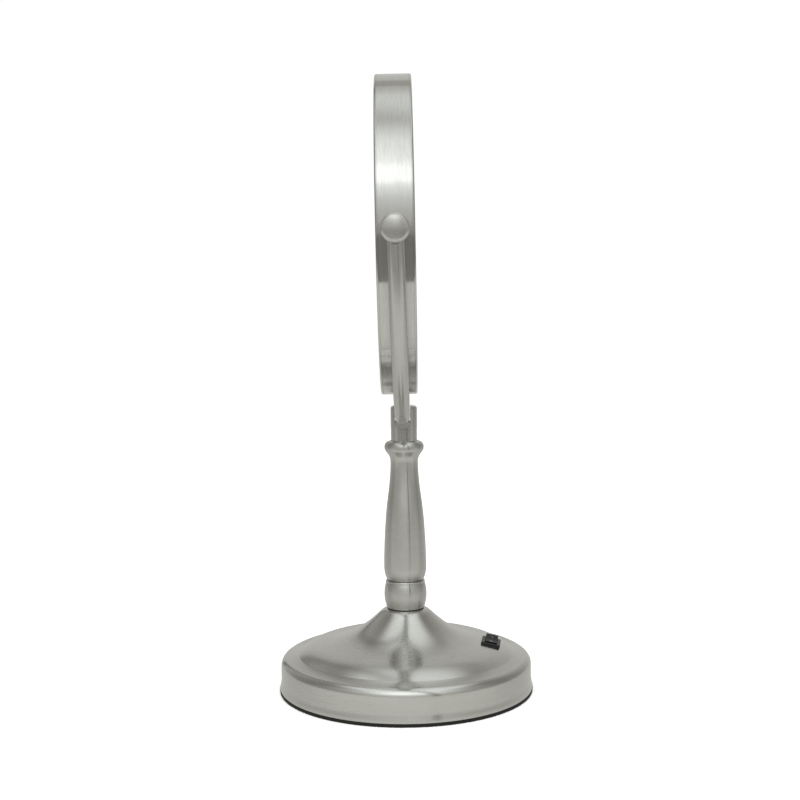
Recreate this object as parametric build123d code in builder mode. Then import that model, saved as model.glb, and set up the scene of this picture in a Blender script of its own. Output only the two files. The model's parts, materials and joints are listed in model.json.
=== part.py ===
from build123d import *

# Two-sided lighted vanity mirror on a turned pedestal, in millimetres.
# The origin is on the table under the middle of the base and +Z is up. +X is the side of the flat
# mirror and of the switch, and the head tilts about an axis parallel to Y.

import os
from math import asin, cos, degrees, radians, sin, sqrt

os.makedirs("parts", exist_ok=True)

# ---------------------------------------------------------------- driving dimensions
# Base
foot_height = 2.2
foot_outer_radius = 79.5
foot_inner_radius = 68.0
foot_rounding = 0.6
hem_radius = 79.3
hem_top = 8.0
wall_radius = 78.5
wall_top = 16.9
shoulder_radius = 5.2
land_slope = 14.0
crease_radius = 68.0
neck_radius = 11.8
neck_top = 51.6
sheet = 1.0
# The sheet's height across the dome, where it slopes.
sheet_drop = 1.15
dome_points = (
    (60.0, 28.0),
    (51.0, 30.45),
    (41.0, 32.9),
    (31.5, 36.9),
    (22.0, 43.7),
    (17.0, 48.2),
    (14.2, 50.55),
)
dome_foot_slope = (-1.0, 0.65)
neck_slope = (-1.0, 0.22)
plate_top = 5.4
plate_gap = 0.6
weight_outer_radius = 74.0
weight_inner_radius = 52.0
weight_top = 11.0
screw_circle_radius = 60.0
screw_count = 4
screw_head_radius = 3.0
screw_head_height = 1.6
screw_head_rounding = 0.6
screw_shank_radius = 1.5
screw_tip_gap = 0.5
screw_gap = 0.2
screw_slot = (0.8, 3.2, 0.9)

# Column
gasket_radius = 11.6
gasket_top = 52.2
ball_top = 69.6
column_bottom = 69.9
column_top = 157.3
socket_bottom = 152.5
socket_top = 178.9
socket_radius = 8.15
socket_rounding = 1.4
tie_rod_radius = 4.75
tie_rod_bore = 3.0
tie_rod_bottom = 42.0
tie_rod_grip = 7.8
rod_hole_gap = 0.2
tie_washer_radius = 9.5
tie_washer_thickness = 1.6
tie_nut_radius = 8.0
tie_nut_height = 4.5
column_bore = 5.0

# Yoke and pivots. Along the tilt axis, distances are from the middle of the head.
yoke_tube_radius = 4.65
yoke_bore = 2.6
yoke_arc_radius = 111.2
yoke_seat = (-0.8, 172.5)
yoke_lean = 1.45
yoke_end_overhang = 5.0
yoke_end_cap = 0.8
notch_width = 9.6
notch_bottom = 165.0
notch_chamfer = 0.4
saddle_top = 169.4
lead_way_radius = 1.7
arm_inner_face = 107.2
arm_outer_face = 114.8
spot_face_radius = 9.2
stud_radius = 3.0
stud_bore = 1.6
stud_head_radius = 5.0
stud_head_face = 86.0
stud_head_height = 2.0
stud_thread = 4.0
friction_washer_radius = 5.6
bush_inner_end = 88.7
bush_radius = 6.0
bush_flange_radius = 7.0
bush_outer_face = 99.0
bush_flange_seat = 0.7
spacer_radius = 4.6
knob_radius = 8.0
knob_length = 6.6
knob_chamfer = 0.3
knob_edge = 3.05
knob_rounding = 2.6
knob_corner_turn = 70.0
running_clearance = 0.05
thread_gap = 0.02

# Head. Across its thickness, distances are from its middle plane, positive on the flat mirror's side.
head_tilt = 0.65
head_radius = 97.3
half_thickness = 11.0
band_wall = 1.0
band_half_width = 9.6
lip_radius = 90.8
mirror_radius = 76.0
mirror_face = 10.4
glass = 3.0
dish_depth = 5.2
halo_inner_radius = 76.4
halo_outer_radius = 94.8
halo_face = 10.0
halo_back = 8.0
web_front = 0.8
web_back = -1.2
carrier_gap = 0.3
carrier_wall = 1.4
carrier_half_width = 7.8
ledge_radii = (72.5, 74.5)
flat_ledge = 6.6
magnifying_ledge = 6.2
pad_radii = (72.0, 75.0)
pad_thickness = 0.6
pivot_pocket = (88.0, 20.0, 14.0)
web_opening_radius = 52.0
board_inner_radius = 77.0
board_outer_radius = 85.0
board_thickness = 1.2
lamp_circle_radius = 81.0
lamp_count = 24
lamp_size = (2.8, 3.5, 0.9)

# Switch
switch_distance = 53.5
switch_azimuth = -6.4
switch_slope = 12.0
switch_height = 29.8
switch_bezel = (11.8, 15.4, 1.5)
switch_body = (9.4, 13.2, 11.0)
switch_well = (8.0, 12.4, 6.0)
rocker_rest_angle = 10.0
rocker_width = 7.6
rocker_pin_radius = 0.8
rocker_half_length = 5.6
rocker_foot = (4.6, -1.3)
rocker_rise = (2.2, 3.2)
switch_sinking = 0.7
switch_rounding = 0.4
switch_hole_gap = 0.3
terminal = (4.0, 0.8, 4.5)
terminal_pitch = 6.4
pin_cover = 0.2

# Batteries: cells side by side with their axes along Y
cell_radius = 7.1
cell_length = 49.2
cell_height = 13.6
cell_pitch = 15.0
cell_count = 4
bay = (62.6, 59.6)
tray_wall = 1.5
tray_top = 22.6
cell_rounding = 0.5
cell_button = (2.7, 1.1)
rib = (0.6, 5.5)
contact_size = (9.0, 10.0)
contact_sheet = 0.4
leaf_width = 6.0
leaf_half_height = 4.5
door = (62.0, 59.6, 1.6)
door_bottom = 2.3
door_travel = 6.0
door_recess_depth = 1.9
door_gap = 0.25
window = (59.0, 57.0)
hook_columns = (-18.0, 18.0)
hook_notch = (5.8, 2.4)
hook_width = 5.0
hook_post = (27.2, 28.2)
hook_reach = 29.4
hook_gap = 0.2
hook_thickness = 0.7
grip_grooves = (-22.4, -20.0, -17.6)
grip_groove = (20.0, 1.2, 0.5)
lead_radius = 1.1

head_lead_radius = 0.8
head_lead_end = 105.0
yoke_lead_angles = (268.0, 355.5)
connector_face = 82.6
connector = (2.4, 5.0)

# Driver board, above the battery tray
driver_gap = 0.8
driver_board_size = (34.0, 22.0, 1.2)
driver_board_place = (0.0, 16.0)
driver_chips = ((-10.0, 16.0, 8.0, 8.0), (3.0, 18.0, 5.0, 4.0))
driver_chip_height = 3.0
driver_can = (11.0, 14.0, 2.5, 6.0)

# ---------------------------------------------------------------- places worked out from them
lean = radians(yoke_lean)
tilt = radians(head_tilt)
head_centre = Vector(
    yoke_seat[0] - yoke_arc_radius * sin(lean),
    0,
    yoke_seat[1] + yoke_arc_radius * cos(lean),
)
head_axis = Vector(cos(tilt), 0, sin(tilt))
# A half section of the head: x is the distance from its axis, y the place across its thickness.
head_section = Plane(head_centre, x_dir=(0, 1, 0), z_dir=Vector(0, 1, 0).cross(head_axis))
# The head seen from the flat mirror's side: x is +Y, y is up.
head_face = Plane(head_centre, x_dir=(0, 1, 0), z_dir=head_axis)
head_spin = Axis(head_centre, head_axis)

yoke_plane = Plane(head_centre, x_dir=(0, 1, 0), z_dir=(cos(lean), 0, sin(lean)))
yoke_spin = Axis(head_centre, yoke_plane.z_dir)
# One plane for each end of the tilt axis, looking outwards.
pivots = [Plane(head_centre, x_dir=(1, 0, 0), z_dir=(0, side, 0)) for side in (-1, 1)]

azimuth = radians(switch_azimuth)
slope = radians(switch_slope)
outwards = Vector(cos(azimuth), sin(azimuth), 0)
# The switch's own frame: x down the dome's slope, y along the dome, z out of the surface.
switch_plane = Plane(
    outwards * switch_distance + Vector(0, 0, switch_height),
    x_dir=outwards * cos(slope) - Vector(0, 0, sin(slope)),
    z_dir=outwards * sin(slope) + Vector(0, 0, cos(slope)),
)
# A section across the switch's pin: x along the dome, y out of the surface.
rocker_section = Plane(switch_plane.origin, x_dir=switch_plane.y_dir, z_dir=switch_plane.x_dir)

cell_places = [(i - (cell_count - 1) / 2) * cell_pitch for i in range(cell_count)]
# Neighbouring cells lie head to tail.
cell_ways = [1 if i % 2 == 0 else -1 for i in range(cell_count)]
screw_places = PolarLocations(screw_circle_radius, screw_count, start_angle=45)


def save(builder, name):
    """Label a finished piece and write it under its name."""
    builder.part.label = name
    export_step(builder.part, f"parts/{name}.step")


def yoke_station(angle):
    """The plane square across the yoke's arc at an angle, which is 0 at its far end."""
    turn = radians(angle)
    place = yoke_plane.from_local_coords((yoke_arc_radius * cos(turn), yoke_arc_radius * sin(turn)))
    ahead = yoke_plane.x_dir * -sin(turn) + yoke_plane.y_dir * cos(turn)
    return Plane(place, x_dir=yoke_plane.z_dir, z_dir=ahead)


# ---------------------------------------------------------------- base
with BuildPart() as foot_ring:
    with BuildSketch():
        Circle(foot_outer_radius)
        Circle(foot_inner_radius, mode=Mode.SUBTRACT)
    extrude(amount=foot_height)
    fillet(foot_ring.edges().group_by(Axis.Z)[0].sort_by(SortBy.RADIUS)[-1], foot_rounding)
save(foot_ring, "foot_ring")


def cover_outline(inset, drop):
    """Draw half of the cover's outline, moved in and down, and close it along the axis."""
    hem = Spline(
        (hem_radius - inset, foot_height),
        (wall_radius - inset, hem_top),
        tangents=[(0, 1), (0, 1)],
    )
    wall = Line(hem @ 1, (wall_radius - inset, wall_top))
    shoulder = JernArc(wall @ 1, wall % 1, shoulder_radius - inset, 90 - land_slope)
    land_length = ((shoulder @ 1).X - crease_radius) / cos(radians(land_slope))
    land = PolarLine(shoulder @ 1, land_length, direction=shoulder % 1)
    dome = Spline(
        land @ 1,
        *[(radius, height - drop) for radius, height in dome_points],
        (neck_radius, neck_top - drop),
        tangents=[dome_foot_slope, neck_slope],
    )
    Polyline(dome @ 1, (0, neck_top - drop), (0, foot_height), hem @ 0)


# The spun cover: wall, rolled shoulder, sloping land, crease, and a dome that sweeps up to the neck.
with BuildPart() as base_cover:
    with BuildSketch(Plane.XZ):
        with BuildLine():
            cover_outline(0, 0)
        make_face()
        with BuildLine():
            cover_outline(sheet, sheet_drop)
        make_face(mode=Mode.SUBTRACT)
    revolve(axis=Axis.Z)
    with BuildSketch(Plane.XY.offset(neck_top)):
        Circle(tie_rod_radius + rod_hole_gap)
    extrude(amount=-5 * sheet, mode=Mode.SUBTRACT)
    with BuildSketch(switch_plane):
        Rectangle(switch_body[0] + switch_hole_gap, switch_body[1] + switch_hole_gap)
    extrude(amount=8 * sheet, both=True, mode=Mode.SUBTRACT)
save(base_cover, "base_cover")

ledge_face = foot_height + door_recess_depth
hook_places = [(x, side) for x in hook_columns for side in (-1, 1)]
screw_head_top = foot_height + screw_head_height + 0.1
with BuildPart() as base_plate:
    with BuildSketch(Plane.XY.offset(foot_height)):
        Circle(wall_radius - sheet - plate_gap)
    extrude(amount=plate_top - foot_height)
    # recess for the door, longer than the door by its travel
    with BuildSketch(Plane.XY.offset(foot_height)):
        with Locations((-door_travel / 2 - door_gap, 0)):
            Rectangle(door[0] + door_travel + 4 * door_gap, door[1] + 2 * door_gap)
    extrude(amount=door_recess_depth, mode=Mode.SUBTRACT)
    # window with four notches that let the door's hooks through
    with BuildSketch(Plane.XY.offset(ledge_face)):
        Rectangle(*window)
        for x, side in hook_places:
            with Locations((x - door_travel, side * window[1] / 2)):
                Rectangle(*hook_notch)
    extrude(amount=plate_top - ledge_face, mode=Mode.SUBTRACT)
    with BuildSketch(Plane.XY.offset(foot_height)):
        with screw_places:
            Circle(screw_head_radius + screw_gap)
    extrude(amount=screw_head_top - foot_height, mode=Mode.SUBTRACT)
    with BuildSketch(Plane.XY.offset(foot_height)):
        with screw_places:
            Circle(screw_shank_radius + screw_gap)
    extrude(amount=plate_top, mode=Mode.SUBTRACT)
save(base_plate, "base_plate")

with BuildPart() as base_weight:
    with BuildSketch(Plane.XY.offset(plate_top)):
        Circle(weight_outer_radius)
        Circle(weight_inner_radius, mode=Mode.SUBTRACT)
        with screw_places:
            Circle(screw_shank_radius + running_clearance, mode=Mode.SUBTRACT)
    extrude(amount=weight_top - plate_top)
save(base_weight, "base_weight")

screw_head_bottom = screw_head_top - screw_head_height
with BuildPart() as base_screws:
    with BuildSketch(Plane.XY.offset(screw_head_bottom)):
        with screw_places:
            Circle(screw_head_radius)
    extrude(amount=screw_head_top - screw_head_bottom)
    fillet(base_screws.edges().group_by(Axis.Z)[0], screw_head_rounding)
    with BuildSketch(Plane.XY.offset(screw_head_top)):
        with screw_places:
            Circle(screw_shank_radius)
    extrude(amount=weight_top - screw_head_top - screw_tip_gap)
    # cross recess
    with BuildSketch(Plane.XY.offset(screw_head_bottom)):
        with screw_places:
            Rectangle(screw_slot[0], screw_slot[1])
            Rectangle(screw_slot[1], screw_slot[0])
    extrude(amount=screw_slot[2], mode=Mode.SUBTRACT)
save(base_screws, "base_screws")

# ---------------------------------------------------------------- battery bay
with BuildPart() as battery_tray:
    with BuildSketch(Plane.XY.offset(plate_top)):
        RectangleRounded(bay[0] + 2 * tray_wall, bay[1] + 2 * tray_wall, 2 * tray_wall)
    extrude(amount=tray_top - plate_top)
    with BuildSketch(Plane.XY.offset(plate_top)):
        RectangleRounded(*bay, tray_wall)
    extrude(amount=tray_top - plate_top - tray_wall, mode=Mode.SUBTRACT)
    # ribs that keep the cells apart
    with BuildSketch(Plane.XY.offset(tray_top - tray_wall)):
        with GridLocations(cell_pitch, 0, cell_count - 1, 1):
            Rectangle(rib[0], cell_length)
    extrude(amount=-rib[1])
save(battery_tray, "battery_tray")

for number, (x, way) in enumerate(zip(cell_places, cell_ways), start=1):
    with BuildPart() as battery:
        with BuildSketch(Plane((x, -way * cell_length / 2, cell_height), z_dir=(0, way, 0))):
            Circle(cell_radius)
        extrude(amount=cell_length)
        fillet(battery.edges().filter_by(GeomType.CIRCLE), cell_rounding)
        with BuildSketch(Plane((x, way * cell_length / 2, cell_height), z_dir=(0, way, 0))):
            Circle(cell_button[0])
        extrude(amount=cell_button[1])
    save(battery, f"battery_{number}")

with BuildPart() as battery_contacts:
    for end in (-1, 1):
        with BuildSketch(Plane.XZ.offset(-end * (bay[1] - contact_sheet) / 2)):
            for x in cell_places:
                with Locations((x, cell_height)):
                    Rectangle(*contact_size)
        extrude(amount=contact_sheet / 2, both=True)
save(battery_contacts, "battery_contacts")

# A bowed leaf between each cell's flat end and its contact.
contact_face = bay[1] / 2 - contact_sheet
leaf_bow = contact_face - cell_length / 2 - contact_sheet - running_clearance
with BuildPart() as battery_springs:
    for x, way in zip(cell_places, cell_ways):
        leaf_plane = Plane((x, -way * contact_face, cell_height), x_dir=(0, 0, 1), z_dir=(1, 0, 0))
        with BuildSketch(leaf_plane):
            with BuildLine():
                bow = ThreePointArc((-leaf_half_height, 0), (0, -way * leaf_bow), (leaf_half_height, 0))
                offset(bow, amount=contact_sheet, side=Side.LEFT if way > 0 else Side.RIGHT)
            make_face()
        extrude(amount=leaf_width / 2, both=True)
    # each leaf's ends lie flat on its contact
    add(battery_contacts.part, mode=Mode.SUBTRACT)
save(battery_springs, "battery_springs")

with BuildPart() as battery_door:
    with BuildSketch(Plane.XY.offset(door_bottom)):
        RectangleRounded(door[0], door[1] - door_gap, door[2])
    extrude(amount=door[2])
    # hooks that reach over the window's long edges
    for x, side in hook_places:
        with BuildSketch(Plane((x, 0, 0), x_dir=(0, side, 0), z_dir=(side, 0, 0))):
            with BuildLine():
                Polyline(
                    (hook_post[0], door_bottom + door[2]),
                    (hook_post[1], door_bottom + door[2]),
                    (hook_post[1], plate_top + hook_gap),
                    (hook_reach, plate_top + hook_gap),
                    (hook_reach, plate_top + hook_gap + hook_thickness),
                    (hook_post[0], plate_top + hook_gap + hook_thickness),
                    close=True,
                )
            make_face()
        extrude(amount=hook_width / 2, both=True)
    # three grip grooves across the pulling end
    with BuildSketch(Plane.XY.offset(door_bottom)):
        for x in grip_grooves:
            with Locations((x, 0)):
                SlotOverall(grip_groove[0], grip_groove[1], rotation=90)
    extrude(amount=grip_groove[2], mode=Mode.SUBTRACT)
save(battery_door, "battery_door")

driver_bottom = tray_top + driver_gap
driver_top = driver_bottom + driver_board_size[2]
with BuildPart() as driver_board:
    with BuildSketch(Plane.XY.offset(driver_bottom)):
        with Locations(driver_board_place):
            Rectangle(driver_board_size[0], driver_board_size[1])
    extrude(amount=driver_board_size[2])
save(driver_board, "driver_board")

with BuildPart() as driver_parts:
    with BuildSketch(Plane.XY.offset(driver_top)):
        for x, y, length, width in driver_chips:
            with Locations((x, y)):
                Rectangle(length, width)
    extrude(amount=driver_chip_height)
    with BuildSketch(Plane.XY.offset(driver_top)):
        with Locations((driver_can[0], driver_can[1])):
            Circle(driver_can[2])
    extrude(amount=driver_can[3])
save(driver_parts, "driver_parts")

# ---------------------------------------------------------------- switch
with BuildPart() as switch_housing:
    with BuildSketch(switch_plane.offset(-switch_sinking)):
        RectangleRounded(switch_bezel[0], switch_bezel[1], 2.5 * switch_rounding)
    extrude(amount=switch_sinking + switch_bezel[2])
    bezel_top = switch_housing.faces().sort_by(Axis(switch_plane.origin, switch_plane.z_dir))[-1]
    fillet(bezel_top.edges(), switch_rounding)
    # the underside follows the dome
    add(Pos(0, 0, running_clearance) * base_cover.part, mode=Mode.SUBTRACT)
    with BuildSketch(switch_plane):
        Rectangle(switch_body[0], switch_body[1])
    extrude(amount=-switch_body[2])
    with BuildSketch(switch_plane.offset(switch_bezel[2])):
        Rectangle(switch_well[0], switch_well[1])
    extrude(amount=-switch_well[2], mode=Mode.SUBTRACT)
    with BuildSketch(rocker_section):
        Circle(rocker_pin_radius + running_clearance)
    extrude(amount=switch_body[0] / 2 - pin_cover, both=True, mode=Mode.SUBTRACT)
save(switch_housing, "switch_housing")

# The rocker rests with its far end up. Its hollow top is an arc.
turn = radians(rocker_rest_angle)
rocker_rest = Plane(
    switch_plane.origin,
    x_dir=switch_plane.y_dir * cos(turn) + switch_plane.z_dir * sin(turn),
    z_dir=switch_plane.x_dir,
)
with BuildPart() as switch_rocker:
    with BuildSketch(rocker_rest):
        with BuildLine():
            hollow = ThreePointArc(
                (-rocker_half_length, rocker_rise[1]),
                (0, rocker_rise[0]),
                (rocker_half_length, rocker_rise[1]),
            )
            Polyline(
                hollow @ 1,
                (rocker_foot[0], rocker_foot[1]),
                (-rocker_foot[0], rocker_foot[1]),
                hollow @ 0,
            )
        make_face()
    extrude(amount=rocker_width / 2, both=True)
    with BuildSketch(rocker_section):
        Circle(rocker_pin_radius)
    extrude(amount=switch_body[0] / 2 - pin_cover - 2 * running_clearance, both=True)
save(switch_rocker, "switch_rocker")

with BuildPart() as switch_terminals:
    with BuildSketch(switch_plane.offset(-switch_body[2])):
        with GridLocations(0, terminal_pitch, 1, 2):
            Rectangle(terminal[0], terminal[1])
    extrude(amount=-terminal[2])
save(switch_terminals, "switch_terminals")

# ---------------------------------------------------------------- column
with BuildPart() as neck_gasket:
    with BuildSketch(Plane.XY.offset(neck_top)):
        Circle(gasket_radius)
        Circle(column_bore, mode=Mode.SUBTRACT)
    extrude(amount=gasket_top - neck_top)
save(neck_gasket, "neck_gasket")

with BuildPart() as column_ball:
    with BuildSketch(Plane.XZ):
        with BuildLine():
            belly = ThreePointArc((11.8, gasket_top), (13.3, 60.8), (12.15, 68.2))
            bead = ThreePointArc(belly @ 1, (12.3, 68.9), (11.6, ball_top))
            Polyline(bead @ 1, (column_bore, ball_top), (column_bore, gasket_top), belly @ 0)
        make_face()
    revolve(axis=Axis.Z)
save(column_ball, "column_ball")

# Short straight bands at the widest and narrowest places keep the shaft's curves apart.
with BuildPart() as column_body:
    with BuildSketch(Plane.XZ):
        with BuildLine():
            root = Line((column_bore, column_bottom), (11.4, column_bottom))
            foot = Spline(root @ 1, (12.6, 72.8), (13.28, 78.0), tangents=[(0.6, 1), (0, 1)])
            belly_band = Line(foot @ 1, (13.28, 79.5))
            shaft = Spline(
                belly_band @ 1,
                (12.95, 92.0),
                (12.2, 105.6),
                (11.0, 118.0),
                (9.55, 129.2),
                (8.85, 137.3),
                (8.62, 142.4),
                tangents=[(0, 1), (0, 1)],
            )
            waist_band = Line(shaft @ 1, (8.62, 143.4))
            flare = Spline(
                waist_band @ 1,
                (9.3, 147.3),
                (11.0, 149.9),
                (12.3, 152.6),
                tangents=[(0, 1), (0, 1)],
            )
            collar_band = Line(flare @ 1, (12.3, 153.3))
            roll = Spline(
                collar_band @ 1,
                (11.4, 156.0),
                (socket_radius + 0.15, column_top),
                tangents=[(0, 1), (-1, 0.1)],
            )
            Polyline(
                roll @ 1,
                (socket_radius + 0.15, socket_bottom),
                (column_bore, socket_bottom),
                root @ 0,
            )
        make_face()
    revolve(axis=Axis.Z)
save(column_body, "column_body")

notch_centre = notch_bottom + notch_width / 2
with BuildPart() as yoke_socket:
    with BuildSketch(Plane.XY.offset(socket_bottom)):
        Circle(socket_radius)
    extrude(amount=socket_top - socket_bottom)
    fillet(yoke_socket.edges().group_by(Axis.Z)[-1], socket_rounding)
    # blind hole for the tie rod, with a way on for the lead
    with BuildSketch(Plane.XY.offset(socket_bottom)):
        Circle(tie_rod_radius + running_clearance)
    extrude(amount=tie_rod_grip + rod_hole_gap, mode=Mode.SUBTRACT)
    with BuildSketch(Plane.XY.offset(socket_bottom)):
        Circle(tie_rod_bore)
    extrude(amount=notch_centre - socket_bottom, mode=Mode.SUBTRACT)
    with BuildSketch(Plane.XZ.offset(-socket_radius - 1)):
        with Locations((yoke_seat[0], notch_centre)):
            Circle(notch_width / 2)
        with Locations((yoke_seat[0], notch_centre + notch_width)):
            Rectangle(notch_width, 2 * notch_width)
    extrude(amount=2 * socket_radius + 2, mode=Mode.SUBTRACT)
    # the notch's outer edges are broken, front and back
    outside = yoke_socket.faces().filter_by(GeomType.CYLINDER).sort_by(SortBy.AREA)[-1]
    notch_wall = yoke_socket.faces().filter_by(GeomType.CYLINDER).filter_by(
        lambda face: abs(face.radius - notch_width / 2) < running_clearance
    )
    notch_edges = [e for e in notch_wall.edges() if e in outside.edges()]
    chamfer(notch_edges, notch_chamfer)
save(yoke_socket, "yoke_socket")

with BuildPart() as tie_rod:
    with BuildSketch(Plane.XY.offset(tie_rod_bottom)):
        Circle(tie_rod_radius)
        Circle(tie_rod_bore, mode=Mode.SUBTRACT)
    extrude(amount=socket_bottom + tie_rod_grip - tie_rod_bottom)
save(tie_rod, "tie_rod")

washer_bottom = neck_top - sheet_drop - tie_washer_thickness
with BuildPart() as tie_washer:
    with BuildSketch(Plane.XY.offset(washer_bottom)):
        Circle(tie_washer_radius)
        Circle(tie_rod_radius + rod_hole_gap, mode=Mode.SUBTRACT)
    extrude(amount=tie_washer_thickness)
save(tie_washer, "tie_washer")

with BuildPart() as tie_nut:
    with BuildSketch(Plane.XY.offset(washer_bottom)):
        RegularPolygon(tie_nut_radius, 6, major_radius=False)
        Circle(tie_rod_radius + thread_gap, mode=Mode.SUBTRACT)
    extrude(amount=-tie_nut_height)
save(tie_nut, "tie_nut")

# ---------------------------------------------------------------- yoke
end_overhang = degrees(asin(yoke_end_overhang / yoke_arc_radius))
with BuildPart() as yoke:
    with BuildSketch(yoke_station(180 - end_overhang)):
        Circle(yoke_tube_radius)
        Circle(yoke_bore, mode=Mode.SUBTRACT)
    revolve(axis=yoke_spin, revolution_arc=180 + 2 * end_overhang)
    for angle in (180 - end_overhang, 360 + end_overhang - yoke_end_cap):
        with BuildSketch(yoke_station(angle)):
            Circle(yoke_tube_radius)
        revolve(axis=yoke_spin, revolution_arc=yoke_end_cap)
    with BuildSketch(Plane.XY.offset(yoke_seat[1] - 2 * yoke_tube_radius)):
        with Locations((yoke_seat[0], 0)):
            Circle(lead_way_radius)
    extrude(amount=2 * yoke_tube_radius, mode=Mode.SUBTRACT)
    # flats inside and out, and the stud's hole, at each pivot
    for pivot in pivots:
        with BuildSketch(pivot.offset(arm_outer_face)):
            Circle(spot_face_radius)
        extrude(amount=yoke_tube_radius, mode=Mode.SUBTRACT)
        with BuildSketch(pivot.offset(arm_inner_face)):
            Circle(spot_face_radius)
        extrude(amount=-yoke_tube_radius, mode=Mode.SUBTRACT)
        with BuildSketch(pivot.offset(arm_inner_face)):
            Circle(stud_radius + running_clearance)
        extrude(amount=arm_outer_face - arm_inner_face, mode=Mode.SUBTRACT)
save(yoke, "yoke")

# The saddle fills the notch under the yoke.
saddle_half_length = socket_radius - 1.0
with BuildPart() as yoke_saddle:
    with BuildSketch(Plane.XZ.offset(-saddle_half_length)):
        with Locations((yoke_seat[0], notch_centre)):
            Circle(notch_width / 2)
        with Locations((yoke_seat[0], saddle_top + notch_width)):
            Rectangle(2 * notch_width, 2 * notch_width, mode=Mode.SUBTRACT)
    extrude(amount=2 * saddle_half_length)
    with BuildSketch(yoke_station(260)):
        Circle(yoke_tube_radius)
    revolve(axis=yoke_spin, revolution_arc=20, mode=Mode.SUBTRACT)
    with BuildSketch(Plane.XY.offset(notch_bottom - 1)):
        with Locations((yoke_seat[0], 0)):
            Circle(lead_way_radius)
    extrude(amount=notch_width, mode=Mode.SUBTRACT)
save(yoke_saddle, "yoke_saddle")

with BuildPart() as pivot_studs:
    for pivot in pivots:
        with BuildSketch(pivot.offset(stud_head_face)):
            Circle(stud_head_radius)
        extrude(amount=stud_head_height)
        with BuildSketch(pivot.offset(stud_head_face)):
            Circle(stud_radius)
        extrude(amount=arm_outer_face + stud_thread - stud_head_face)
        with BuildSketch(pivot.offset(stud_head_face)):
            Circle(stud_bore)
        extrude(amount=arm_outer_face - stud_head_height - stud_head_face, mode=Mode.SUBTRACT)
save(pivot_studs, "pivot_studs")

with BuildPart() as friction_washers:
    for pivot in pivots:
        with BuildSketch(pivot.offset(stud_head_face + stud_head_height)):
            Circle(friction_washer_radius)
            Circle(stud_radius + 2 * running_clearance, mode=Mode.SUBTRACT)
        extrude(amount=bush_inner_end - stud_head_face - stud_head_height - 2 * running_clearance)
save(friction_washers, "friction_washers")

with BuildPart() as pivot_spacers:
    for pivot in pivots:
        with BuildSketch(pivot.offset(bush_outer_face + 2 * running_clearance)):
            Circle(spacer_radius)
            Circle(stud_radius + running_clearance, mode=Mode.SUBTRACT)
        extrude(amount=arm_inner_face - bush_outer_face - 2 * running_clearance)
save(pivot_spacers, "pivot_spacers")

for side, pivot in zip(("near", "far"), pivots):
    # a shallow dome on a rounded disc, screwed on to the stud
    knob_section = Plane(head_centre, x_dir=(1, 0, 0), z_dir=Vector(1, 0, 0).cross(pivot.z_dir))
    with BuildPart() as knob:
        with BuildSketch(knob_section):
            with BuildLine():
                back = Line((0, arm_outer_face), (knob_radius - knob_chamfer, arm_outer_face))
                slant = Line(back @ 1, (knob_radius, arm_outer_face + knob_chamfer))
                edge = Line(slant @ 1, (knob_radius, arm_outer_face + knob_edge))
                corner = JernArc(edge @ 1, (0, 1), knob_rounding, knob_corner_turn)
                crown = Spline(
                    corner @ 1,
                    (0, arm_outer_face + knob_length),
                    tangents=[corner % 1, (-1, 0)],
                )
                Line(crown @ 1, back @ 0)
            make_face()
        revolve(axis=Axis(head_centre, pivot.z_dir))
        with BuildSketch(pivot.offset(arm_outer_face)):
            Circle(stud_radius + thread_gap)
        extrude(amount=stud_thread + 2 * running_clearance, mode=Mode.SUBTRACT)
    save(knob, f"knob_{side}")

# ---------------------------------------------------------------- head
with BuildPart() as head_band:
    with BuildSketch(head_face.offset(-band_half_width)):
        Circle(head_radius)
        Circle(head_radius - band_wall, mode=Mode.SUBTRACT)
    extrude(amount=2 * band_half_width)
    for pivot in pivots:
        with BuildSketch(pivot.offset(head_radius)):
            Circle(bush_radius + thread_gap)
        extrude(amount=-4 * band_wall, mode=Mode.SUBTRACT)
save(head_band, "head_band")

rim_joint = band_half_width + 0.1
for name, side in (("rim_flat", 1), ("rim_magnifying", -1)):
    with BuildPart() as rim:
        with BuildSketch(head_section):
            with BuildLine():
                outer = Line((head_radius, side * rim_joint), (head_radius, side * rim_joint + side * 0.1))
                round_out = ThreePointArc(
                    outer @ 1,
                    (head_radius - 0.35, side * (half_thickness - 0.35)),
                    (head_radius - 1.2, side * half_thickness),
                )
                front = Line(round_out @ 1, (lip_radius + 0.7, side * half_thickness))
                round_in = ThreePointArc(
                    front @ 1,
                    (lip_radius + 0.2, side * (half_thickness - 0.2)),
                    (lip_radius, side * (half_thickness - 0.7)),
                )
                Polyline(
                    round_in @ 1,
                    (lip_radius, side * (halo_face + 0.05)),
                    (halo_outer_radius + 0.2, side * (halo_face + 0.05)),
                    (halo_outer_radius + 0.2, side * halo_back),
                    (head_radius - band_wall - 0.1, side * halo_back),
                    (head_radius - band_wall - 0.1, side * rim_joint),
                    outer @ 0,
                )
            make_face()
        revolve(axis=head_spin)
    save(rim, name)

for name, side in (("halo_flat", 1), ("halo_magnifying", -1)):
    with BuildPart() as halo:
        with BuildSketch(head_face.offset(side * halo_back)):
            Circle(halo_outer_radius)
            Circle(halo_inner_radius, mode=Mode.SUBTRACT)
        extrude(amount=side * (halo_face - halo_back))
    save(halo, name)

with BuildPart() as mirror_flat:
    with BuildSketch(head_face.offset(mirror_face - glass)):
        Circle(mirror_radius)
    extrude(amount=glass)
    fillet(mirror_flat.edges().filter_by(GeomType.CIRCLE).sort_by(Axis.X)[-1], 0.4)
save(mirror_flat, "mirror_flat")

bowl_radius = (mirror_radius**2 + dish_depth**2) / (2 * dish_depth)


def bowl_face(radius):
    """The place of the magnifying mirror's face at a distance from the head's axis."""
    return dish_depth - mirror_face - bowl_radius + sqrt(bowl_radius**2 - radius**2)


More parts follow.
